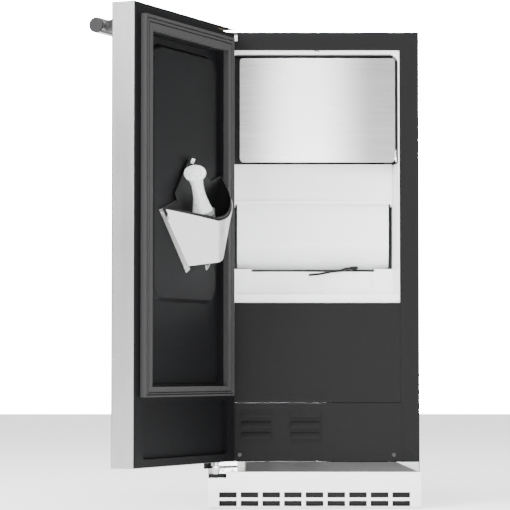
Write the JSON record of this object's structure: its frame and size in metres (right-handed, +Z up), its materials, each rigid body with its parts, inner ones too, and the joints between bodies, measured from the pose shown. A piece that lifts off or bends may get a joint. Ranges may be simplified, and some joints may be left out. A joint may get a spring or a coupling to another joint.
{
  "type": "ice maker",
  "caption": "Undercounter clear-ice maker with a stainless door standing open, ice bin, flap, toe grille and a scoop in a holder on the door.",
  "frame": {"origin": "centre of the cabinet's footprint at floor level, where the machine stands", "axes": "+X to the right of someone facing the machine, -Y towards them, +Z up"},
  "size_m": [0.5729, 0.9644, 0.854],
  "materials": {
    "charcoal_paint": "fine satin charcoal powder coat",
    "brushed_stainless": "brushed stainless sheet",
    "white_plastic": "smooth white moulded plastic",
    "black_plastic": "black moulded plastic",
    "door_liner_plastic": "black vacuum-formed liner, fine sheen",
    "gasket_rubber": "soft black rubber",
    "clear_plastic": "clear moulded plastic",
    "zinc_steel": "zinc-plated steel",
    "bare_stainless": "plain stainless",
    "copper": "drawn copper tube",
    "fin_aluminium": "bare aluminium fins",
    "black_paint": "black enamel",
    "foam": "poured polyurethane foam",
    "valve_plastic": "natural moulded nylon"
  },
  "bodies": {
    "cabinet": {"outer_shell": "charcoal_paint", "back_panel": "zinc_steel", "base_pan": "zinc_steel", "front_frame": "charcoal_paint", "insulation": "foam", "bin_liner": "white_plastic", "header_panel": "white_plastic", "evaporator_cover": "brushed_stainless", "evaporator_housing": "black_plastic", "evaporator_plate": "bare_stainless", "evaporator_coil": "copper", "water_distributor": "white_plastic", "cutter_frame": "black_plastic", "cutter_wires": "bare_stainless", "water_reservoir": "white_plastic", "water_pump": "black_plastic", "bin_mouth_seal": "black_plastic", "flap_pins": "zinc_steel", "sensor_lead": "black_plastic", "seal_panel": "charcoal_paint", "panel_clip": "charcoal_paint", "louver_panel": "charcoal_paint", "panel_screws": "zinc_steel", "toe_grille": "brushed_stainless", "condenser_fins": "fin_aluminium", "fan_shroud": "black_plastic", "fan_motor": "black_paint", "compressor": "black_paint", "compressor_mounts": "gasket_rubber", "filter_drier": "copper", "refrigerant_lines": "copper", "control_box": "black_plastic", "inlet_valve": "valve_plastic", "drain_outlet": "valve_plastic", "cord_gland": "black_plastic", "hinge_plates": "zinc_steel", "hinge_pins": "zinc_steel", "hinge_screws": "zinc_steel", "hinge_cover": "black_plastic"},
    "door": {"door_skin": "brushed_stainless", "door_foam": "foam", "door_liner": "door_liner_plastic", "door_gasket": "gasket_rubber", "door_stop": "black_plastic", "hinge_bushes": "valve_plastic", "handle_bar": "brushed_stainless", "handle_posts": "brushed_stainless", "handle_caps": "black_plastic", "holder_sheet": "brushed_stainless", "holder_tub": "black_plastic", "holder_screws": "zinc_steel"},
    "scoop": {"scoop_bowl": "clear_plastic", "scoop_handle": "white_plastic"},
    "flap": {"bin_flap": "white_plastic"},
    "impeller": {"pump_impeller": "valve_plastic"},
    "fan": {"fan_blade": "black_plastic"},
    "foot_front_left_body": {"foot_front_left": "zinc_steel"},
    "foot_rear_left_body": {"foot_rear_left": "zinc_steel"},
    "foot_front_right_body": {"foot_front_right": "zinc_steel"},
    "foot_rear_right_body": {"foot_rear_right": "zinc_steel"}
  },
  "joints": [
    {"name": "door_hinge", "type": "hinge", "parent": "cabinet", "child": "door", "pos_m": [-0.175, -0.32, 0.4], "axis": [0, 0, -1], "range_deg": [-115.3, 4]},
    {"name": "flap_hinge", "type": "hinge", "parent": "cabinet", "child": "flap", "pos_m": [0, -0.21, 0.55], "axis": [1, 0, 0], "range_deg": [0, 70]},
    {"name": "scoop_lift", "type": "slide", "parent": "door", "child": "scoop", "axis": [-0.1813, -0.3835, 0.9056], "range_m": [0, 0.12]},
    {"name": "impeller_spin", "type": "hinge", "parent": "cabinet", "child": "impeller", "pos_m": [0.096, -0.186, 0.58], "axis": [0, 0, 1], "continuous": true},
    {"name": "fan_spin", "type": "hinge", "parent": "cabinet", "child": "fan", "pos_m": [-0.06, -0.17, 0.1692], "axis": [0, 1, 0], "continuous": true},
    {"name": "foot_front_left_level", "type": "slide", "parent": "cabinet", "child": "foot_front_left_body", "axis": [0, 0, -1], "range_m": [0, 0.022]},
    {"name": "foot_rear_left_level", "type": "slide", "parent": "cabinet", "child": "foot_rear_left_body", "axis": [0, 0, -1], "range_m": [0, 0.022]},
    {"name": "foot_front_right_level", "type": "slide", "parent": "cabinet", "child": "foot_front_right_body", "axis": [0, 0, -1], "range_m": [0, 0.022]},
    {"name": "foot_rear_right_level", "type": "slide", "parent": "cabinet", "child": "foot_rear_right_body", "axis": [0, 0, -1], "range_m": [0, 0.022]}
  ]
}
